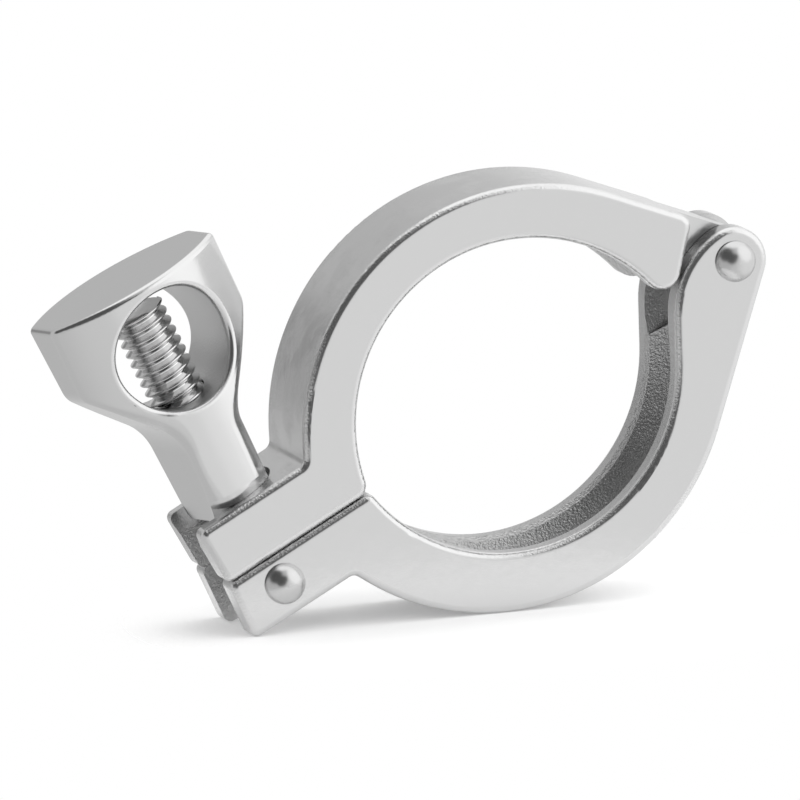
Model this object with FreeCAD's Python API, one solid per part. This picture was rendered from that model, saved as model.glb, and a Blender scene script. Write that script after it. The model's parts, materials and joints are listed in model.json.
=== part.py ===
"""Sanitary hinged clamp for tube ferrules, in millimetres.

Two cast halves turn on a riveted hinge pin. A swing bolt, riveted into the lower
lug, stands in the slot of the upper lug, and a wing nut on it draws the lugs together.

Every piece is drawn in the clamp's own frame: X runs along the parting plane from the
lugs to the hinge, Y along the tube, Z away from the parting plane, with the origin on
the axis of the lower half's ferrule groove. At the end all pieces are tilted together,
so that the clamp stands on the lower half's back and on the corner of its lug.
"""

import FreeCAD, Part
import math
import os

Vector = FreeCAD.Vector
ORIGIN = Vector(0, 0, 0)
ALONG_TUBE = Vector(0, 1, 0)
SIDEWAYS = Vector(1, 0, 0)
UP = Vector(0, 0, 1)
FAR = 80.0
SMALL = 1e-3

# Ring of the two halves
body_width = 17.0
throat_radius = 22.9
groove_depth = 3.7
groove_floor_width = 7.4
groove_flank_angle = 20.0
lip_chamfer = 0.5
closed_overlap = 6.05
parting_height = -3.1
parting_gap = 0.04
lower_wall = 4.9
lower_back_centre = (-0.9, 1.5)
upper_wall = 4.7
upper_back_centre = (0.4, -7.9)

# Rounding of the castings
face_round = 0.9
corner_round = 1.0
upper_mouth_round = 2.0
lower_mouth_round = 1.1
root_round = 1.3

# Hinge
hinge_offset = 6.74
hinge_drop = 0.73
ear_radius = 4.35
ear_thickness = 3.5
arm_throat_gap = 0.485
arm_turn = -87.5
knuckle_radius = 3.7
knuckle_side_play = 0.15
fork_clear = 1.5
cheek_distance = 6.7
cheek_slope = 47.5
cheek_round = 2.5
cheek_top_round = 1.6

# Lugs
lug_length = 18.0
lower_lug_depth = 8.0
lower_lug_flare = 0.7
upper_lug_height = 7.9
slot_width = 8.6
slot_wall = 5.1
seat_rise = 2.9
seat_gap = 0.03

# Rivets
pin_radius = 2.25
pin_running_gap = 0.06
pin_fit_gap = 0.01
head_radius = 2.65
head_rim = 0.3
head_dome = 1.6

# Swing bolt
eye_offset = 11.7
eye_drop = 3.8
eye_radius = 4.3
eye_side_play = 0.25
eye_end_room = 0.8
eye_round = 0.4
bolt_radius = 3.75
bolt_length = 38.8
bolt_tip_chamfer = 0.9
bolt_lean = 3.9

# Wing nut, heights measured from the eye pin along the bolt
nut_turn = 10.5
nut_foot = 10.5
nut_top = 43.3
nut_overhang = 0.2
nut_draft = 3.8
ball_radius = 6.4
barrel_half_width = 4.5
barrel_edge_round = 2.8
wing_half_width = 12.95
wing_tip_half_depth = 3.4
wing_corner_height = 33.0
wing_flare_angle = 41.0
wing_corner_round = 2.8
wing_edge_round = 1.4
neck_round = 7.0
nut_top_round = 0.7
window_radius = 8.0
window_height = 33.7
window_round = 0.7
thread_running_gap = 0.05

# Sizes that follow from the ones above
groove_radius = throat_radius + groove_depth
lower_back_radius = groove_radius + lower_wall
upper_back_radius = groove_radius + upper_wall
hinge = (groove_radius + hinge_offset, parting_height - hinge_drop)
eye = (-groove_radius - eye_offset, parting_height - eye_drop)
lug_end = -groove_radius - lug_length
upper_slot_end = -groove_radius - slot_wall
upper_axis = (0.0, -closed_overlap)
upper_parting_height = parting_height + parting_gap
lug_bottom = parting_height - lower_lug_depth
lug_top = parting_height + upper_lug_height
fork_width = body_width - 2 * ear_thickness
knuckle_width = fork_width - 2 * knuckle_side_play
eye_width = slot_width - 2 * eye_side_play
nut_half_depth = body_width / 2 + nut_overhang
lower_slot_end = eye[0] + eye_radius + eye_end_room
seat_radius = ball_radius + seat_gap


def at(x, z, y=0.0):
    """A point given by its place in the side view and its depth."""
    return Vector(x, y, z)


def polar(centre, radius, degrees):
    """The side view point at a radius and an angle above X from a centre."""
    angle = math.radians(degrees)
    return (centre[0] + radius * math.cos(angle), centre[1] + radius * math.sin(angle))


def disc(centre, radius, width):
    """A cylinder along the tube's direction, centred on the middle plane."""
    return Part.makeCylinder(radius, width, at(*centre, -width / 2), ALONG_TUBE)


def plate(points, width):
    """A plate with the given side view outline, centred on the middle plane."""
    corners = [at(x, z, -width / 2) for x, z in points]
    face = Part.Face(Part.makePolygon(corners + corners[:1]))
    return face.extrude(Vector(0, width, 0))


def direction(start, end):
    """The angle above X of the way from one side view point to another."""
    return math.degrees(math.atan2(end[1] - start[1], end[0] - start[0]))


def outer_tangent(big, big_radius, small, small_radius, side):
    """Touching points of the line over two circles, to the left (1) or right (-1)."""
    spread = math.degrees(math.acos((big_radius - small_radius) / math.dist(big, small)))
    normal = direction(big, small) + side * spread
    return polar(big, big_radius, normal), polar(small, small_radius, normal)


def crossing_tangent(first, first_radius, second, second_radius, side):
    """Touching points of the line that passes between two circles."""
    spread = math.degrees(math.acos((first_radius + second_radius) / math.dist(first, second)))
    normal = direction(first, second) + side * spread
    return polar(first, first_radius, normal), polar(second, second_radius, normal + 180)


def corner_edge(shape, point):
    """The edge along the tube's direction nearest to a side view point."""
    def distance(edge):
        middle = edge.CenterOfMass
        return math.hypot(middle.x - point[0], middle.z - point[1])

    straight = [
        edge for edge in shape.Edges
        if edge.BoundBox.XLength < SMALL and edge.BoundBox.ZLength < SMALL
    ]
    return min(straight, key=distance)


def round_corners(shape, corners):
    """Rounds the edges along the tube's direction that lie nearest to the given points."""
    for point, radius in corners:
        shape = shape.makeFillet(radius, [corner_edge(shape, point)])
    return shape


def round_sides(shape, width, radius):
    """Rounds the outline edges of the two flat sides."""
    outline = []
    for edge in shape.Edges:
        box = edge.BoundBox
        if box.YLength < SMALL and abs(abs(box.YMin) - width / 2) < SMALL:
            outline.append(edge)
    return shape.makeFillet(radius, outline)


def on_back(centre, radius, height):
    """The point on the lug's side of a round back at a height."""
    return (centre[0] - math.sqrt(radius**2 - (height - centre[1])**2), height)


def ferrule_groove(axis):
    """The ring that the V groove and its eased lips take out of a half."""
    spread = math.tan(math.radians(groove_flank_angle))
    floor = groove_floor_width / 2
    mouth = floor + groove_depth * spread
    eased = mouth - lip_chamfer * spread
    profile = [
        (throat_radius - groove_depth, mouth + lip_chamfer),
        (throat_radius, mouth + lip_chamfer),
        (throat_radius + lip_chamfer, eased),
        (groove_radius, floor),
    ]
    corners = [Vector(r, y, 0) for r, y in profile]
    corners += [Vector(r, -y, 0) for r, y in reversed(profile)]
    face = Part.Face(Part.makePolygon(corners + corners[:1]))
    ring = face.revolve(ORIGIN, ALONG_TUBE, 360)
    ring.translate(at(*axis))
    return ring


def along_bolt(shape):
    """Moves a shape drawn upright over the origin onto the leaning bolt."""
    shape.rotate(ORIGIN, ALONG_TUBE, bolt_lean)
    shape.translate(at(*eye))
    return shape


def arm_arc():
    """Centre and radius of the arm's bow, inside the ear and a small gap off the throat."""
    inward = polar((0, 0), 1, arm_turn)
    lean_in = hinge[0] * inward[0] + hinge[1] * inward[1]
    reach = throat_radius + arm_throat_gap
    spare = reach**2 - math.dist((0, 0), hinge)**2 + 2 * ear_radius * lean_in - ear_radius**2
    radius = spare / (2 * (lean_in - ear_radius - reach))
    return polar(hinge, radius - ear_radius, arm_turn), radius


def lower_half():
    """Lower half: grooved arc, two hinge ears and the forked lug of the swing bolt."""
    back_touch, ear_touch = outer_tangent(
        lower_back_centre, lower_back_radius, hinge, ear_radius, -1
    )
    arm_centre, arm_radius = arm_arc()
    ear_top = polar(arm_centre, arm_radius, arm_turn + 180)
    throat_touch, arm_touch = crossing_tangent(
        (0, 0), throat_radius, arm_centre, arm_radius, -1
    )
    back = disc(lower_back_centre, lower_back_radius, body_width)
    arm = plate([(0, 0), back_touch, ear_touch, hinge, ear_top, arm_touch], body_width)
    lug = plate(
        [
            (lug_end, parting_height),
            (lug_end - lower_lug_flare, lug_bottom),
            (0, lug_bottom),
            (0, parting_height),
        ],
        body_width,
    )
    above = plate(
        [
            (-FAR, parting_height),
            (0, parting_height),
            throat_touch,
            arm_touch,
            ear_top,
            (ear_top[0], FAR),
            (-FAR, FAR),
        ],
        body_width,
    )
    over_chord = plate([arm_touch, ear_top, (ear_top[0], FAR), (arm_touch[0], FAR)], body_width)
    arm_bow = disc(arm_centre, arm_radius, body_width).common(over_chord)
    throat = disc((0, 0), throat_radius, body_width)
    ear = disc(hinge, ear_radius, body_width)
    blank = back.fuse([arm, lug]).cut([above, throat]).fuse([arm_bow, ear]).removeSplitter()
    blank = round_corners(
        blank,
        [
            ((-throat_radius, parting_height), lower_mouth_round),
            (on_back(lower_back_centre, lower_back_radius, lug_bottom), root_round),
            ((lug_end, parting_height), corner_round),
            ((lug_end - lower_lug_flare, lug_bottom), corner_round),
        ],
    )
    blank = round_sides(blank, body_width, face_round)

    room = ear_radius + fork_clear
    inner, outer = crossing_tangent((0, 0), groove_radius, hinge, room, -1)
    mid_throat = throat_radius / 2
    slot_way = plate(
        [inner, outer, hinge, (hinge[0], FAR), (mid_throat, FAR), (mid_throat, inner[1])],
        fork_width,
    )
    fork = slot_way.fuse(disc(hinge, room, fork_width))
    slot = Part.makeBox(
        FAR, slot_width, 2 * FAR, at(lower_slot_end - FAR, -FAR, -slot_width / 2)
    )
    hinge_bore = disc(hinge, pin_radius + pin_fit_gap, body_width)
    eye_bore = disc(eye, pin_radius + pin_fit_gap, body_width)
    return blank.cut([ferrule_groove((0, 0)), fork, slot, hinge_bore, eye_bore])


def seat_tool(reach):
    """The trough with a ball end that the nut's foot rests in, upright over the origin."""
    axis_height = nut_foot + seat_rise
    barrel = Part.makeCylinder(seat_radius, reach, Vector(-reach, 0, axis_height), SIDEWAYS)
    ball = Part.makeSphere(seat_radius, Vector(0, 0, axis_height))
    above = Part.makeBox(reach, 2 * seat_radius, reach, Vector(-reach, -seat_radius, axis_height))
    return barrel.fuse([ball, above])


def upper_half():
    """Upper half: grooved arc, hinge knuckle between two cheeks, and the slotted lug."""
    back_touch, knuckle_touch = outer_tangent(
        upper_back_centre, upper_back_radius, hinge, knuckle_radius, 1
    )
    cheek_foot = polar(hinge, cheek_distance, 90 + cheek_slope)
    cheek_run = math.tan(math.radians(cheek_slope))

    def cheek_line(x):
        return (x, cheek_foot[1] + cheek_run * (x - cheek_foot[0]))

    shoulder_run = math.tan(math.radians(direction(back_touch, knuckle_touch)))
    shoulder_rise = back_touch[1] - shoulder_run * back_touch[0]
    cheek_rise = cheek_line(0)[1]
    cheek_top = cheek_line((shoulder_rise - cheek_rise) / (cheek_run - shoulder_run))
    mid_throat = throat_radius / 2
    back = disc(upper_back_centre, upper_back_radius, body_width)
    shoulder = plate([(0, 0), back_touch, knuckle_touch, hinge], body_width)
    lug = plate(
        [
            (lug_end, upper_parting_height),
            (lug_end, lug_top),
            (0, lug_top),
            (0, upper_parting_height),
        ],
        body_width,
    )
    below = plate(
        [
            (-FAR, upper_parting_height),
            (mid_throat, upper_parting_height),
            cheek_line(mid_throat),
            cheek_line(FAR),
            (FAR, -FAR),
            (-FAR, -FAR),
        ],
        body_width,
    )
    throat = disc(upper_axis, throat_radius, body_width)
    blank = back.fuse([shoulder, lug]).cut([below, throat]).removeSplitter()
    blank = round_corners(
        blank,
        [
            ((throat_radius, parting_height), cheek_round),
            (cheek_top, cheek_top_round),
            ((-throat_radius, upper_parting_height), upper_mouth_round),
            (on_back(upper_back_centre, upper_back_radius, lug_top), root_round),
            ((lug_end, upper_parting_height), corner_round),
            ((lug_end, lug_top), corner_round),
        ],
    )
    blank = round_sides(blank, body_width, face_round)

    under, knuckle_under = crossing_tangent(
        upper_axis, groove_radius, hinge, knuckle_radius, 1
    )
    web = plate([back_touch, knuckle_touch, hinge, knuckle_under, under], knuckle_width)
    knuckle = web.fuse(disc(hinge, knuckle_radius, knuckle_width))
    slot_radius = slot_width / 2
    slot_centre = upper_slot_end - slot_radius
    slot = Part.makeBox(
        FAR, slot_width, FAR / 4, at(slot_centre - FAR, -FAR / 8, -slot_radius)
    )
    slot_round = Part.makeCylinder(slot_radius, FAR / 4, at(slot_centre, -FAR / 8), UP)
    bore = disc(hinge, pin_radius + pin_running_gap, body_width)
    seat = along_bolt(seat_tool(FAR / 4))
    blank = blank.cut(ferrule_groove(upper_axis))
    return blank.fuse(knuckle).cut([slot, slot_round, seat, bore]).removeSplitter()


def rivet(centre):
    """A pin with a domed head seated on each side of the body."""
    face = body_width / 2
    rim = face + head_rim
    crown = rim + head_dome
    dome_radius = (head_radius**2 + head_dome**2) / (2 * head_dome)
    half_way = math.asin(head_radius / dome_radius) / 2
    over = dome_radius * math.sin(half_way)
    height = crown - dome_radius * (1 - math.cos(half_way))
    edge_point = Vector(head_radius, rim, 0)
    crown_point = Vector(0, crown, 0)
    arc = Part.Arc(edge_point, Vector(over, height, 0), crown_point).toShape()
    lines = Part.makePolygon(
        [
            crown_point,
            ORIGIN,
            Vector(pin_radius, 0, 0),
            Vector(pin_radius, face, 0),
            Vector(head_radius, face, 0),
            edge_point,
        ]
    )
    profile = Part.Face(Part.Wire(lines.Edges + [arc]))
    half = profile.revolve(ORIGIN, ALONG_TUBE, 360)
    other = half.mirror(ORIGIN, ALONG_TUBE)
    pin = half.fuse(other).removeSplitter()
    pin.translate(at(*centre))
    return pin


def swing_bolt():
    """Eye and shank of the swing bolt, standing in the two slots."""
    eye_disc = disc((0, 0), eye_radius, eye_width)
    eye_disc = round_sides(eye_disc, eye_width, eye_round)
    shank = Part.makeCylinder(bolt_radius, bolt_length, ORIGIN, UP)
    tip = [edge for edge in shank.Edges if edge.BoundBox.ZMin > bolt_length - SMALL]
    shank = shank.makeChamfer(bolt_tip_chamfer, tip)
    bore = disc((0, 0), pin_radius + pin_running_gap, body_width)
    return along_bolt(eye_disc.fuse(shank).cut(bore))


def foot_envelope():
    """The ball that bounds the nut's foot, with all the room above its centre left free."""
    ball_height = nut_foot + seat_rise
    ball = Part.makeSphere(ball_radius, Vector(0, 0, ball_height))
    above = Part.makeCylinder(FAR, FAR, Vector(0, 0, ball_height))
    return ball.fuse(above)


def lens():
    """An upright body between two round faces that lean together by the casting's draft."""
    sag = nut_half_depth - wing_tip_half_depth
    radius = (wing_half_width**2 + sag**2) / (2 * sag)
    offset = radius - nut_half_depth
    front = Part.makeCylinder(radius, 2 * FAR, Vector(0, offset, -FAR), UP)
    rear = Part.makeCylinder(radius, 2 * FAR, Vector(0, -offset, -FAR), UP)
    front.rotate(Vector(0, 0, nut_top), SIDEWAYS, nut_draft)
    rear.rotate(Vector(0, 0, nut_top), SIDEWAYS, -nut_draft)
    return front.common(rear)


def round_nut_edges(body, neck_height):
    """Rounds the outline, broad along the barrel and running out to the wings' radius."""
    rounds = []
    for number, edge in enumerate(body.Edges, start=1):
        box = edge.BoundBox
        start = wing_edge_round
        end = wing_edge_round
        if abs(edge.CenterOfMass.y) < SMALL or box.ZLength < SMALL:
            continue
        if box.ZMax < neck_height:
            start = barrel_edge_round
            end = barrel_edge_round
        elif box.ZMin < neck_height:
            upward = edge.valueAt(edge.LastParameter).z > edge.valueAt(edge.FirstParameter).z
            start = barrel_edge_round if upward else wing_edge_round
            end = wing_edge_round if upward else barrel_edge_round
        rounds.append((number, start, end))
    document = FreeCAD.newDocument()
    base = document.addObject("Part::Feature", "base")
    base.Shape = body
    rounded = document.addObject("Part::Fillet", "rounded")
    rounded.Base = base
    rounded.Edges = rounds
    document.recompute()
    result = rounded.Shape.copy()
    FreeCAD.closeDocument(document.Name)
    return result


def wing_nut():
    """Wing nut: barrel, two flared wings and the window that shows the bolt's end."""
    flare = math.tan(math.radians(wing_flare_angle))
    neck_height = wing_corner_height - (wing_half_width - barrel_half_width) / flare
    side = [
        (barrel_half_width, nut_foot),
        (barrel_half_width, neck_height),
        (wing_half_width, wing_corner_height),
        (wing_half_width, nut_top),
    ]
    corners = [(side[1], neck_round), (side[2], wing_corner_round)]
    corners += [((-point[0], point[1]), radius) for point, radius in corners]
    other_side = [(-x, z) for x, z in reversed(side)]
    body = round_corners(plate(side + other_side, FAR), corners)
    body = round_nut_edges(body.common(lens()), neck_height)
    crown = [edge for edge in body.Edges if edge.BoundBox.ZMin > nut_top - SMALL]
    body = body.makeFillet(nut_top_round, crown)
    body = body.common(foot_envelope())

    window = disc((0, window_height), window_radius, FAR)
    body = body.cut(window)
    rims = []
    for edge in body.Edges:
        middle = edge.CenterOfMass
        box = edge.BoundBox
        round_window = abs(middle.x) < SMALL and abs(middle.z - window_height) < window_radius
        if round_window and min(box.XLength, box.ZLength) > window_radius:
            rims.append(edge)
    body = body.makeFillet(window_round, rims)
    bore_radius = bolt_radius + thread_running_gap
    body = body.cut(Part.makeCylinder(bore_radius, window_height, ORIGIN, UP))
    body.rotate(ORIGIN, UP, nut_turn)
    return along_bolt(body)


def standing_tilt():
    """The lean of the clamp that stands on the lower half's back and its lug's corner."""
    corner = (lug_end - lower_lug_flare + corner_round, lug_bottom + corner_round)
    rise = direction(corner, lower_back_centre)
    reach = math.dist(corner, lower_back_centre)
    return math.degrees(math.asin((lower_back_radius - corner_round) / reach)) - rise


if __name__ == "__main__":
    os.makedirs("parts", exist_ok=True)
    pieces = {
        "lower_half": lower_half(),
        "upper_half": upper_half(),
        "hinge_pin": rivet(hinge),
        "bolt_pin": rivet(eye),
        "swing_bolt": swing_bolt(),
        "wing_nut": wing_nut(),
    }
    tilt = standing_tilt()
    for name, shape in pieces.items():
        shape.rotate(ORIGIN, ALONG_TUBE, -tilt)
        shape.exportStep("parts/" + name + ".step")
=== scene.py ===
"""Looks of a hinged sanitary clamp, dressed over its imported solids. Lengths are in metres.

The solids keep their shapes and get their finishes. Only the swing bolt is replaced, by a
copy with a screw thread. A studio and the photograph's camera stand around the clamp.
"""

import json
import math

import bpy
from mathutils import Matrix, Vector


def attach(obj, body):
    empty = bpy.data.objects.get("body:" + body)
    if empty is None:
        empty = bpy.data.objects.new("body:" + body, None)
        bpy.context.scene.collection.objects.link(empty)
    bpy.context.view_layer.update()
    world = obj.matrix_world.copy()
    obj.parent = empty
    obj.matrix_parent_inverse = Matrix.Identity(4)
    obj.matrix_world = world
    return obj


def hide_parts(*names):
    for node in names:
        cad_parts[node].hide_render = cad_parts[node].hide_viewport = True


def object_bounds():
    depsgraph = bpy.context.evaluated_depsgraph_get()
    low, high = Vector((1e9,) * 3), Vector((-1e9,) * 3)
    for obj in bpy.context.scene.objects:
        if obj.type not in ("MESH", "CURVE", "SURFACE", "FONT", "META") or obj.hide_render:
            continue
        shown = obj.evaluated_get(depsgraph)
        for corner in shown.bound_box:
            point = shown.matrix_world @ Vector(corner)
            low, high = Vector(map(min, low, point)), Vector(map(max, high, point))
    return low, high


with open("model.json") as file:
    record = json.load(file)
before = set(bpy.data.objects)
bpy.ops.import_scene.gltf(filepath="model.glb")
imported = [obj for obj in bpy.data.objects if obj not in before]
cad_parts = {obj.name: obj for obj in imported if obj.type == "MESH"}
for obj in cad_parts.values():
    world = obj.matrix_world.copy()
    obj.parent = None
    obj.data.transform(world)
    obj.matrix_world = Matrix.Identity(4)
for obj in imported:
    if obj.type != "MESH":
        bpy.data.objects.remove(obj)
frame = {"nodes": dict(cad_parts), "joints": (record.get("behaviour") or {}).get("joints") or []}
cad_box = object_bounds()

MM = 0.001
joints = {joint["name"]: joint for joint in frame["joints"]}

# Photograph's view: where the lens stands, and the pixel of the lower half's groove axis
camera_left = math.radians(16.3)
camera_height = math.radians(9.7)
camera_roll = math.radians(2.6)
camera_distance = 2.5
camera_reach = 20
photo_width = 800
pixels_per_mm = 7.8
groove_axis_pixel = (487, 367)
sensor_width = 36.0

# Screw thread of the swing bolt, 18 turns to the inch. The two lengths are measured from
# the eye's centre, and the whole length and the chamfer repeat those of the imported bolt.
thread_pitch = 25.4 / 18 * MM
thread_flank = math.radians(30)
crest_radius = 3.73 * MM
root_radius = 2.95 * MM
crest_share = 0.45
plain_shank = 8.0 * MM
shank_overlap = 0.5 * MM
bolt_length = 38.8 * MM
tip_chamfer = 0.9 * MM
thread_steps = 64
limit_sides = 96
limit_clear = 0.02 * MM
weld_distance = 1e-6
crease_angle = math.radians(35)

# Rough inside of the clamp, whose darker tint is partly the mould's skin and partly painted
# shade: its reach from the groove's axis, half its width, and how softly both end. The width
# takes in most of the lands beside the groove, which are wider here than on the real clamp.
# A groove's axis is given as its x and z.
groove_rim = 29.0 * MM
rim_fade = 0.6 * MM
groove_half_mouth = 7.7 * MM
mouth_fade_in = 0.4 * MM
mouth_fade_out = 0.2 * MM
lower_groove_axis = (0.0, 0.0)
upper_groove_axis = (2.82 * MM, -5.35 * MM)

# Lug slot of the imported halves, along the clamp's own leaning X
clamp_tilt = math.radians(27.796)
slot_start = -32.0 * MM
slot_start_fade = 0.5 * MM
slot_half_width = 4.5 * MM
slot_side_fade = 0.3 * MM

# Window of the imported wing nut, its height on the bolt and the nut's turn about the bolt
window_radius = 8.0 * MM
window_height = 33.7 * MM
nut_turn = math.radians(10.5)
wall_fade = (0.05 * MM, 0.3 * MM)

# Cast steel: the mould's grain, the waves that polishing leaves, and the clouds of wear
skin_grain = 0.32 * MM
wear_cloud = 6 * MM
casting_wave = 2.2 * MM
casting_wave_height = 0.03 * MM
casting_skin_height = 0.12 * MM
nut_wave = 3 * MM
nut_wave_height = 0.014 * MM
nut_skin_height = 0.06 * MM

# How much of the grain is left: the least anywhere, in a cloud's smooth and grained parts,
# and on rounded edges
casting_least_grain = 0.05
nut_least_grain = 0.04
cloud_edge = (0.40, 0.60)
back_grain = (0.15, 0.85)
edge_grain = 0.5

# Where the grain of backs and edges comes and goes, as a face turns from a back, 0, to a
# front, 1
back_grain_ends = (0.75, 0.995)
edge_grain_starts = (0.1, 0.4)
edge_grain_ends = (0.85, 0.998)

# Roughness where the polish is best and where all of the grain is left
casting_roughness = (0.2, 0.28)
nut_roughness = (0.18, 0.36)

# Clouds of more and less shine on the rivets and the thread
shine_cloud = 8 * MM
shine_edge = (0.35, 0.65)

# Room that the metal mirrors, set after the reflections in the photograph. Each patch: turn
# from the back towards the hinge, height, where it is full and where it ends, all in
# degrees, and its light. A later patch lies over an earlier one.
room_light = 0.70
room_patches = (
    (165, -40, 20, 50, 0.85),  # low front
    (112, -5, 40, 70, 1.10),  # hinge's side
    (35, 0, 15, 32, 1.05),  # back, to the right
    (-14, 5, 26, 40, 0.61),  # grey back
    (118, 30, 28, 44, 1.45),  # lit side, above the hinge
    (35, 58, 24, 36, 1.30),  # light from behind and above
    (20, 82, 22, 34, 1.40),  # light from straight above
    (163, -12, 9, 17, 0.97),  # front, beside the lens
    (-27, 5, 7, 16, 0.30),  # dark strip in the back
    (-125, 36, 24, 40, 0.10),  # dark screen beyond the nut
    (-158, 15, 20, 30, 0.10),  # dark screen in front, to the left
    (-175, 25, 11, 19, 0.10),  # its edge above the lens
)

# Soft light on all that isn't mirror-like: even, and stronger from the hinge's side
fill_light = 0.92
fill_patch = (100, 35, 25, 75)
fill_patch_light = 1.7

# Floor: its own glow to the eye, and the radii between which it dissolves into the backdrop
floor_size = 0.3
floor_glow = 0.2
floor_solid = 38 * MM
floor_gone = 54 * MM


def paint(code):
    """The linear colour of an sRGB hex code."""
    parts = [int(code[i:i + 2], 16) / 255 for i in (1, 3, 5)]
    linear = [c / 12.92 if c <= 0.04045 else ((c + 0.055) / 1.055) ** 2.4 for c in parts]
    return (*linear, 1.0)


def add_node(tree, kind, settings=None, inputs=None):
    """Adds a node, sets its properties, and fills or links its inputs."""
    made = tree.nodes.new(kind)
    for name, value in (settings or {}).items():
        setattr(made, name, value)
    for name, value in (inputs or {}).items():
        socket = made.inputs[name]
        if isinstance(value, bpy.types.NodeSocket):
            tree.links.new(value, socket)
        else:
            socket.default_value = value
    return made


def new_material(name):
    """An empty material and its node tree."""
    material = bpy.data.materials.new(name)
    material.use_nodes = True
    material.node_tree.nodes.clear()
    return material, material.node_tree


def ease(tree, value, start, end):
    """A smooth fall from one to zero as a value goes from start to end."""
    return add_node(
        tree, "ShaderNodeMapRange", {"interpolation_type": "SMOOTHSTEP"},
        {"Value": value, "From Min": start, "From Max": end, "To Min": 1.0, "To Max": 0.0},
    ).outputs["Result"]


def bare_steel(tree, tint, roughness, relief):
    """Ends a material as bare steel with its tint, roughness and relief."""
    steel = add_node(
        tree, "ShaderNodeBsdfPrincipled", None,
        {
            "Base Color": tint.outputs["Result"],
            "Metallic": 1.0,
            "Roughness": roughness.outputs["Result"],
            "Normal": relief.outputs["Normal"],
        },
    )
    add_node(tree, "ShaderNodeOutputMaterial", None, {"Surface": steel.outputs["BSDF"]})


def rough_skin_and_shade_mask(tree, place, groove_axis):
    """One in the groove and in the lug's slot, zero on the polished outside. It sets the mould's
    rough skin there, and a darker tint that is partly painted shade.
    """
    part = add_node(tree, "ShaderNodeSeparateXYZ", None, {"Vector": place.outputs["Object"]})
    level = add_node(
        tree, "ShaderNodeCombineXYZ", None, {"X": part.outputs["X"], "Z": part.outputs["Z"]}
    )
    reach = add_node(
        tree, "ShaderNodeVectorMath", {"operation": "DISTANCE"},
        {0: level.outputs["Vector"], 1: (groove_axis[0], 0.0, groove_axis[1])},
    )
    along = add_node(
        tree, "ShaderNodeVectorMath", {"operation": "DOT_PRODUCT"},
        {0: place.outputs["Object"], 1: (math.cos(clamp_tilt), 0.0, math.sin(clamp_tilt))},
    )
    half = add_node(tree, "ShaderNodeMath", {"operation": "ABSOLUTE"}, {0: part.outputs["Y"]})
    depth = half.outputs["Value"]
    mouth_start = groove_half_mouth - mouth_fade_in
    mouth_end = groove_half_mouth + mouth_fade_out
    groove = add_node(
        tree, "ShaderNodeMath", {"operation": "MULTIPLY"},
        {
            0: ease(tree, reach.outputs["Value"], groove_rim, groove_rim + rim_fade),
            1: ease(tree, depth, mouth_start, mouth_end),
        },
    )
    slot = add_node(
        tree, "ShaderNodeMath", {"operation": "MULTIPLY"},
        {
            0: ease(tree, along.outputs["Value"], slot_start - slot_start_fade, slot_start),
            1: ease(tree, depth, slot_half_width, slot_half_width + slot_side_fade),
        },
    )
    return add_node(
        tree, "ShaderNodeMath", {"operation": "MAXIMUM"},
        {0: groove.outputs["Value"], 1: slot.outputs["Value"]},
    ).outputs["Value"]


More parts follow.
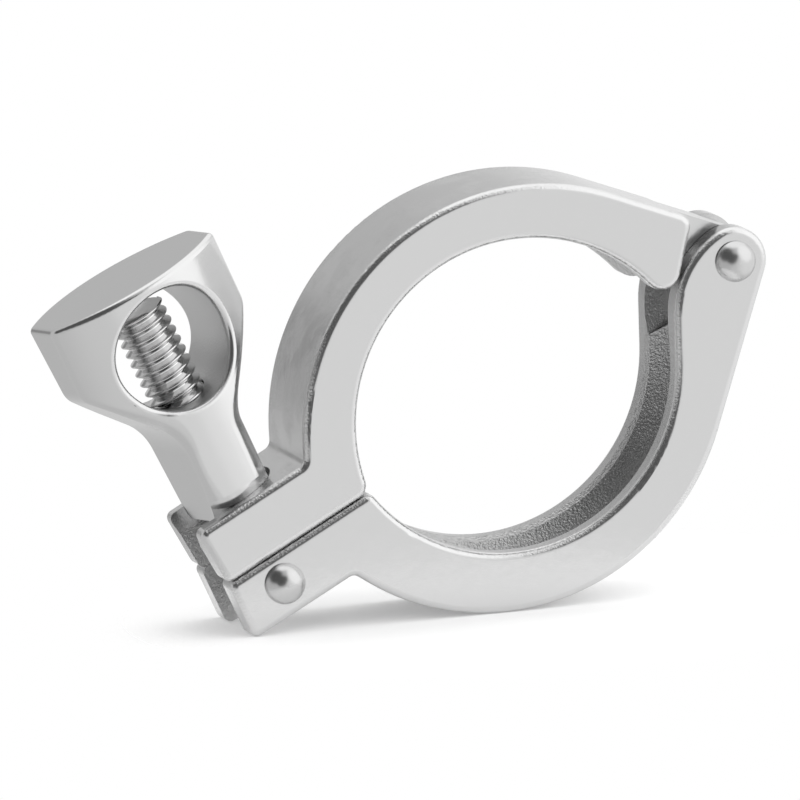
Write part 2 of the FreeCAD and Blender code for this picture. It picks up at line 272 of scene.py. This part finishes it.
def cast_steel(name, groove_axis):
    """Investment-cast stainless steel, vibration polished: grey satin with no direction.

    The stones smooth the flat faces most, leave a fine grain on the rounded edges and in
    patches on the backs, and miss the groove, which keeps the coarse skin of the mould. The
    darker tint in the groove and the lug's slot is partly that skin and partly painted shade.
    """
    material, tree = new_material(name)
    place = add_node(tree, "ShaderNodeTexCoord")
    surface = add_node(tree, "ShaderNodeNewGeometry")
    inside = rough_skin_and_shade_mask(tree, place, groove_axis)
    cloud = add_node(
        tree, "ShaderNodeTexNoise", None,
        {
            "Vector": place.outputs["Object"], "Scale": 1 / wear_cloud,
            "Detail": 3.0, "Roughness": 0.6,
        },
    )
    skin = add_node(
        tree, "ShaderNodeTexNoise", None,
        {
            "Vector": place.outputs["Object"], "Scale": 1 / skin_grain,
            "Detail": 2.0, "Roughness": 0.6,
        },
    )
    peel = add_node(
        tree, "ShaderNodeTexNoise", None,
        {
            "Vector": place.outputs["Object"], "Scale": 1 / casting_wave,
            "Detail": 1.0, "Roughness": 0.4,
        },
    )
    facing = add_node(
        tree, "ShaderNodeSeparateXYZ", None, {"Vector": surface.outputs["Normal"]}
    )
    front = add_node(
        tree, "ShaderNodeMath", {"operation": "ABSOLUTE"}, {0: facing.outputs["Y"]}
    ).outputs["Value"]
    worn = add_node(
        tree, "ShaderNodeMapRange", {"interpolation_type": "SMOOTHSTEP"},
        {
            "Value": cloud.outputs["Fac"],
            "From Min": cloud_edge[0], "From Max": cloud_edge[1],
            "To Min": back_grain[0], "To Max": back_grain[1],
        },
    )
    on_backs = add_node(
        tree, "ShaderNodeMath", {"operation": "MULTIPLY"},
        {0: worn.outputs["Result"], 1: ease(tree, front, *back_grain_ends)},
    )
    rounded = add_node(
        tree, "ShaderNodeMath", {"operation": "SUBTRACT"},
        {0: ease(tree, front, *edge_grain_ends), 1: ease(tree, front, *edge_grain_starts)},
    )
    on_edges = add_node(
        tree, "ShaderNodeMath", {"operation": "MULTIPLY"},
        {0: rounded.outputs["Value"], 1: edge_grain},
    )
    grained = add_node(
        tree, "ShaderNodeMath", {"operation": "MAXIMUM"},
        {0: on_backs.outputs["Value"], 1: on_edges.outputs["Value"]},
    )
    outside = add_node(
        tree, "ShaderNodeMath", {"operation": "MAXIMUM"},
        {0: grained.outputs["Value"], 1: casting_least_grain},
    )
    coarse = add_node(
        tree, "ShaderNodeMath", {"operation": "MAXIMUM"},
        {0: outside.outputs["Value"], 1: inside},
    )
    wave = add_node(
        tree, "ShaderNodeBump", None,
        {"Height": peel.outputs["Fac"], "Distance": casting_wave_height, "Strength": 1.0},
    )
    relief = add_node(
        tree, "ShaderNodeBump", None,
        {
            "Height": skin.outputs["Fac"], "Distance": casting_skin_height,
            "Strength": coarse.outputs["Value"], "Normal": wave.outputs["Normal"],
        },
    )
    # Darker tint in the groove and the lug's slot: partly the mould's rough skin, partly painted
    # shade in these recesses
    tint = add_node(
        tree, "ShaderNodeMix", {"data_type": "RGBA"},
        {"Factor": inside, "A": paint("#d3d3d3"), "B": paint("#bebebe")},
    )
    roughness = add_node(
        tree, "ShaderNodeMapRange", None,
        {
            "Value": coarse.outputs["Value"], "From Min": 0.0, "From Max": 1.0,
            "To Min": casting_roughness[0], "To Max": casting_roughness[1],
        },
    )
    bare_steel(tree, tint, roughness, relief)
    return material


def nut_steel(name):
    """Cast stainless nut, polished on a mop: a smooth grey shine outside.

    The mop can't reach the window's wall, which stays matt and grainy. Its darker tint is partly
    that unpolished skin and partly painted shade inside the window.
    """
    material, tree = new_material(name)
    place = add_node(tree, "ShaderNodeTexCoord")
    centre = bolt_place() @ Vector((0, 0, window_height))
    bolt_way = Vector(joints["wing_nut_travel"]["axis"]).normalized()
    through = Matrix.Rotation(nut_turn, 3, bolt_way) @ Vector((0, 1, 0))
    offset = add_node(
        tree, "ShaderNodeVectorMath", {"operation": "SUBTRACT"},
        {0: place.outputs["Object"], 1: centre},
    )
    arm = add_node(
        tree, "ShaderNodeVectorMath", {"operation": "CROSS_PRODUCT"},
        {0: offset.outputs["Vector"], 1: through},
    )
    reach = add_node(
        tree, "ShaderNodeVectorMath", {"operation": "LENGTH"}, {0: arm.outputs["Vector"]}
    )
    wall = ease(
        tree, reach.outputs["Value"], window_radius + wall_fade[0], window_radius + wall_fade[1]
    )
    skin = add_node(
        tree, "ShaderNodeTexNoise", None,
        {
            "Vector": place.outputs["Object"], "Scale": 1 / skin_grain,
            "Detail": 2.0, "Roughness": 0.6,
        },
    )
    peel = add_node(
        tree, "ShaderNodeTexNoise", None,
        {
            "Vector": place.outputs["Object"], "Scale": 1 / nut_wave,
            "Detail": 1.0, "Roughness": 0.4,
        },
    )
    coarse = add_node(
        tree, "ShaderNodeMath", {"operation": "MAXIMUM"}, {0: wall, 1: nut_least_grain}
    )
    wave = add_node(
        tree, "ShaderNodeBump", None,
        {"Height": peel.outputs["Fac"], "Distance": nut_wave_height, "Strength": 1.0},
    )
    relief = add_node(
        tree, "ShaderNodeBump", None,
        {
            "Height": skin.outputs["Fac"], "Distance": nut_skin_height,
            "Strength": coarse.outputs["Value"], "Normal": wave.outputs["Normal"],
        },
    )
    # Darker tint on the window's wall: partly the unpolished skin, partly painted shade inside
    # the window
    tint = add_node(
        tree, "ShaderNodeMix", {"data_type": "RGBA"},
        {"Factor": wall, "A": paint("#d0d0d0"), "B": paint("#c4c4c4")},
    )
    roughness = add_node(
        tree, "ShaderNodeMapRange", None,
        {
            "Value": coarse.outputs["Value"], "From Min": 0.0, "From Max": 1.0,
            "To Min": nut_roughness[0], "To Max": nut_roughness[1],
        },
    )
    bare_steel(tree, tint, roughness, relief)
    return material


def smooth_steel(name, colours, dull, bright, grain_size, grain_height):
    """Stainless steel worked smoother than the castings, with its own shine and grain."""
    material, tree = new_material(name)
    place = add_node(tree, "ShaderNodeTexCoord")
    grain = add_node(
        tree, "ShaderNodeTexNoise", None,
        {
            "Vector": place.outputs["Object"], "Scale": 1 / grain_size,
            "Detail": 3.0, "Roughness": 0.6,
        },
    )
    cloud = add_node(
        tree, "ShaderNodeTexNoise", None,
        {
            "Vector": place.outputs["Object"], "Scale": 1 / shine_cloud,
            "Detail": 2.0, "Roughness": 0.5,
        },
    )
    roughness = add_node(
        tree, "ShaderNodeMapRange", None,
        {
            "Value": cloud.outputs["Fac"],
            "From Min": shine_edge[0], "From Max": shine_edge[1],
            "To Min": bright, "To Max": dull,
        },
    )
    tint = add_node(
        tree, "ShaderNodeMix", {"data_type": "RGBA"},
        {"Factor": grain.outputs["Fac"], "A": paint(colours[0]), "B": paint(colours[1])},
    )
    relief = add_node(
        tree, "ShaderNodeBump", None,
        {"Height": grain.outputs["Fac"], "Distance": grain_height, "Strength": 1.0},
    )
    bare_steel(tree, tint, roughness, relief)
    return material


def dress(node_name, material):
    """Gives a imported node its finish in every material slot."""
    for slot in frame["nodes"][node_name].material_slots:
        slot.material = material


def nothing_selected():
    """Leaves edit mode and deselects every object."""
    if bpy.context.mode != "OBJECT":
        bpy.ops.object.mode_set(mode="OBJECT")
    bpy.ops.object.select_all(action="DESELECT")


def only(piece):
    """Makes a piece the single selected and active one."""
    nothing_selected()
    piece.select_set(True)
    bpy.context.view_layer.objects.active = piece


def apply_modifier(piece, kind, **settings):
    """Shapes a piece's mesh by one modifier."""
    only(piece)
    modifier = piece.modifiers.new(kind.title(), kind)
    for name, value in settings.items():
        setattr(modifier, name, value)
    bpy.ops.object.modifier_apply(modifier=modifier.name)


def bolt_place():
    """The eye's centre and the bolt's direction, as the joints state them."""
    eye = Vector(joints["bolt_swing"]["pos_m"])
    along = Vector(joints["wing_nut_travel"]["axis"]).normalized()
    turn = along.to_track_quat("Z", "Y").to_matrix().to_4x4()
    return Matrix.Translation(eye) @ turn


def thread_profile():
    """One pitch of the thread, root and crest rounded, as radii and heights."""
    depth = crest_radius - root_radius
    flank = depth * math.tan(thread_flank)
    crest = (thread_pitch - 2 * flank) * crest_share
    root = thread_pitch - 2 * flank - crest
    return [
        (root_radius + 0.10 * depth, 0.0),
        (root_radius, 0.25 * root),
        (root_radius, 0.75 * root),
        (root_radius + 0.10 * depth, root),
        (crest_radius - 0.14 * depth, root + 0.86 * flank),
        (crest_radius - 0.03 * depth, root + flank + 0.12 * crest),
        (crest_radius, root + flank + 0.5 * crest),
        (crest_radius - 0.03 * depth, root + flank + 0.88 * crest),
        (crest_radius - 0.14 * depth, root + 1.14 * flank + crest),
        (root_radius + 0.10 * depth, thread_pitch),
    ]


def thread_limit():
    """The bolt's round outline with its chamfered tip, which the thread is cut to."""
    nothing_selected()
    bpy.ops.mesh.primitive_cylinder_add(
        vertices=limit_sides, radius=crest_radius + limit_clear, depth=bolt_length,
        location=(0, 0, bolt_length / 2),
    )
    limit = bpy.context.object
    bpy.ops.object.transform_apply(location=True, rotation=True, scale=True)
    bpy.ops.object.mode_set(mode="EDIT")
    bpy.ops.mesh.select_all(action="DESELECT")
    bpy.ops.object.mode_set(mode="OBJECT")
    for face in limit.data.polygons:
        face.select = face.normal.z > 0.9
    bpy.ops.object.mode_set(mode="EDIT")
    bpy.ops.mesh.select_mode(type="FACE")
    bpy.ops.mesh.bevel(offset=tip_chamfer, segments=2, affect="EDGES")
    bpy.ops.object.mode_set(mode="OBJECT")
    return limit


def threaded_end():
    """The threaded length: one turn of the profile, swept up the bolt and cut to its ends."""
    profile = thread_profile()
    nothing_selected()
    bpy.ops.mesh.primitive_plane_add(size=MM, location=(0, 0, 0))
    thread = bpy.context.object
    thread.name = "bolt_thread"
    bpy.ops.object.mode_set(mode="EDIT")
    bpy.ops.mesh.select_all(action="SELECT")
    bpy.ops.mesh.merge(type="CENTER")
    start = plain_shank - 2 * thread_pitch
    bpy.ops.transform.translate(value=(profile[0][0], 0, start))
    for (r0, z0), (r1, z1) in zip(profile, profile[1:]):
        step = (r1 - r0, 0, z1 - z0)
        bpy.ops.mesh.extrude_region_move(TRANSFORM_OT_translate={"value": step})
    bpy.ops.object.mode_set(mode="OBJECT")
    turns = math.ceil((bolt_length - start) / thread_pitch) + 1
    apply_modifier(
        thread, "SCREW",
        axis="Z", angle=math.tau, screw_offset=thread_pitch, iterations=turns,
        steps=thread_steps, render_steps=thread_steps, use_merge_vertices=False,
    )
    bpy.ops.object.mode_set(mode="EDIT")
    bpy.ops.mesh.select_all(action="SELECT")
    bpy.ops.mesh.remove_doubles(threshold=weld_distance)
    for height, above in ((plain_shank - shank_overlap, False), (bolt_length, True)):
        bpy.ops.mesh.select_all(action="SELECT")
        bpy.ops.mesh.bisect(
            plane_co=(0, 0, height), plane_no=(0, 0, 1), use_fill=True,
            clear_inner=not above, clear_outer=above,
        )
    bpy.ops.mesh.select_all(action="SELECT")
    bpy.ops.mesh.normals_make_consistent(inside=False)
    bpy.ops.object.mode_set(mode="OBJECT")

    limit = thread_limit()
    apply_modifier(thread, "BOOLEAN", operation="INTERSECT", object=limit, solver="EXACT")
    bpy.data.objects.remove(limit)
    return thread


def swing_bolt():
    """The swing bolt: its eye and plain shank with the threaded end on them."""
    source = frame["nodes"]["swing_bolt"]
    bolt = source.copy()
    bolt.data = source.data.copy()
    bpy.context.collection.objects.link(bolt)
    bolt.name = "threaded_swing_bolt"
    thread = threaded_end()
    place = bolt_place()
    thread.data.transform(place)
    only(bolt)
    bpy.ops.object.mode_set(mode="EDIT")
    bpy.ops.mesh.select_all(action="SELECT")
    bpy.ops.mesh.remove_doubles(threshold=weld_distance)
    bpy.ops.mesh.bisect(
        plane_co=place @ Vector((0, 0, plain_shank)),
        plane_no=place.to_3x3() @ Vector((0, 0, 1)),
        use_fill=True, clear_outer=True,
    )
    nothing_selected()
    thread.select_set(True)
    bolt.select_set(True)
    bpy.context.view_layer.objects.active = bolt
    bpy.ops.object.join()
    only(bolt)
    bpy.ops.object.shade_smooth_by_angle(angle=crease_angle)
    return bolt


def studio_camera():
    """A long lens at the photograph's angle, with the groove axis at its pixel."""
    a, e = camera_left, camera_height
    onward = Vector((math.sin(a) * math.cos(e), math.cos(a) * math.cos(e), -math.sin(e)))
    level = Vector((math.cos(a), -math.sin(a), 0))
    raised = level.cross(onward)
    right = level * math.cos(camera_roll) - raised * math.sin(camera_roll)
    up = raised * math.cos(camera_roll) + level * math.sin(camera_roll)
    middle = photo_width / 2
    scale = MM / pixels_per_mm
    aim_right = (middle - groove_axis_pixel[0]) * scale
    aim_up = (groove_axis_pixel[1] - middle) * scale
    aim = right * aim_right + up * aim_up
    data = bpy.data.cameras.new("photo_camera")
    data.sensor_width = sensor_width
    data.lens = sensor_width * camera_distance * pixels_per_mm / MM / photo_width
    data.clip_end = camera_reach
    camera = bpy.data.objects.new("photo_camera", data)
    bpy.context.collection.objects.link(camera)
    turn = Matrix((right, up, -onward)).transposed().to_4x4()
    camera.matrix_world = Matrix.Translation(aim - onward * camera_distance) @ turn
    bpy.context.scene.camera = camera


def shown_rays(tree):
    """The light path, and one for all rays that show what they meet: eye, gloss and glass."""
    path = add_node(tree, "ShaderNodeLightPath")
    seen = add_node(
        tree, "ShaderNodeMath", {"operation": "MAXIMUM"},
        {0: path.outputs["Is Camera Ray"], 1: path.outputs["Is Glossy Ray"]},
    )
    shown = add_node(
        tree, "ShaderNodeMath", {"operation": "MAXIMUM"},
        {0: seen.outputs["Value"], 1: path.outputs["Is Transmission Ray"]},
    )
    return path, shown.outputs["Value"]


def white_floor(level):
    """Matt white paper that keeps the soft shadow and dissolves into the backdrop around it."""
    nothing_selected()
    bpy.ops.mesh.primitive_plane_add(size=floor_size, location=(0, 0, level))
    floor = bpy.context.object
    floor.name = "floor"
    bpy.ops.object.transform_apply(location=True, rotation=True, scale=True)
    material, tree = new_material("matt white paper")
    shown = shown_rays(tree)[1]
    glow = add_node(tree, "ShaderNodeMath", {"operation": "MULTIPLY"}, {0: shown, 1: floor_glow})
    paper = add_node(tree, "ShaderNodeBsdfDiffuse", None, {"Color": paint("#ececec")})
    white = add_node(
        tree, "ShaderNodeEmission", None,
        {"Color": paint("#ffffff"), "Strength": glow.outputs["Value"]},
    )
    both = add_node(tree, "ShaderNodeAddShader", None, {0: paper.outputs[0], 1: white.outputs[0]})
    place = add_node(tree, "ShaderNodeTexCoord")
    flattened = add_node(
        tree, "ShaderNodeVectorMath", {"operation": "MULTIPLY"},
        {0: place.outputs["Object"], 1: (1.0, 1.0, 0.0)},
    )
    reach = add_node(
        tree, "ShaderNodeVectorMath", {"operation": "LENGTH"}, {0: flattened.outputs["Vector"]}
    )
    solid = ease(tree, reach.outputs["Value"], floor_solid, floor_gone)
    clear = add_node(tree, "ShaderNodeBsdfTransparent")
    sheet = add_node(
        tree, "ShaderNodeMixShader", None, {"Fac": solid, 1: clear.outputs[0], 2: both.outputs[0]}
    )
    add_node(tree, "ShaderNodeOutputMaterial", None, {"Surface": sheet.outputs[0]})
    floor.data.materials.append(material)


def patch_of_room(tree, way, turn, height, inner, outer):
    """One near a direction of the room, fading to zero between two angles from it."""
    a, e = math.radians(turn), math.radians(height)
    middle = (math.sin(a) * math.cos(e), math.cos(a) * math.cos(e), math.sin(e))
    towards = add_node(
        tree, "ShaderNodeVectorMath", {"operation": "DOT_PRODUCT"},
        {0: way.outputs["Generated"], 1: middle},
    )
    return add_node(
        tree, "ShaderNodeMapRange", {"interpolation_type": "SMOOTHSTEP"},
        {
            "Value": towards.outputs["Value"],
            "From Min": math.cos(math.radians(outer)), "From Max": math.cos(math.radians(inner)),
            "To Min": 0.0, "To Max": 1.0,
        },
    ).outputs["Result"]


def studio_world():
    """White to the eye, the patched room to gloss and glass, the soft fill to all other rays.

    So the metal doesn't mirror the white that the eye sees behind it.
    """
    world = bpy.data.worlds.new("studio")
    bpy.context.scene.world = world
    world.use_nodes = True
    tree = world.node_tree
    tree.nodes.clear()
    path, shown = shown_rays(tree)
    way = add_node(tree, "ShaderNodeTexCoord")
    level = room_light
    for turn, height, inner, outer, light in room_patches:
        patch = patch_of_room(tree, way, turn, height, inner, outer)
        level = add_node(
            tree, "ShaderNodeMix", {"data_type": "FLOAT"},
            {"Factor": patch, "A": level, "B": light},
        ).outputs["Result"]
    seen = add_node(
        tree, "ShaderNodeMix", {"data_type": "FLOAT"},
        {"Factor": path.outputs["Is Camera Ray"], "A": level, "B": 1.0},
    )
    fill = add_node(
        tree, "ShaderNodeMix", {"data_type": "FLOAT"},
        {"Factor": patch_of_room(tree, way, *fill_patch), "A": fill_light, "B": fill_patch_light},
    )
    strength = add_node(
        tree, "ShaderNodeMix", {"data_type": "FLOAT"},
        {"Factor": shown, "A": fill.outputs["Result"], "B": seen.outputs["Result"]},
    )
    room = add_node(
        tree, "ShaderNodeBackground", None,
        {"Color": paint("#ffffff"), "Strength": strength.outputs["Result"]},
    )
    add_node(tree, "ShaderNodeOutputWorld", None, {"Surface": room.outputs[0]})


studio_camera()
studio_world()
white_floor(cad_box[0][2])
bpy.context.scene.view_settings.view_transform = "Standard"

dress("lower_half", cast_steel("vibration polished cast steel, lower half", lower_groove_axis))
dress("upper_half", cast_steel("vibration polished cast steel, upper half", upper_groove_axis))
dress("wing_nut", nut_steel("mop polished cast steel"))

# Headed rivets, their domes struck in a die and tumbled: soft satin
rivet_steel = smooth_steel(
    "headed stainless rivet", ("#cacaca", "#c2c2c2"), dull=0.26, bright=0.20,
    grain_size=0.7 * MM, grain_height=0.006 * MM,
)
for pin in ("hinge_pin", "bolt_pin"):
    dress(pin, rivet_steel)

# Rolled thread: burnished flanks with a faint drag, which sparkle turn by turn
rolled_steel = smooth_steel(
    "rolled stainless thread", ("#e2e2e2", "#d0d0d0"), dull=0.13, bright=0.08,
    grain_size=0.25 * MM, grain_height=0.006 * MM,
)

bolt = swing_bolt()
bolt.data.materials.clear()
bolt.data.materials.append(rolled_steel)
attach(bolt, "bolt")
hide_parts("swing_bolt")
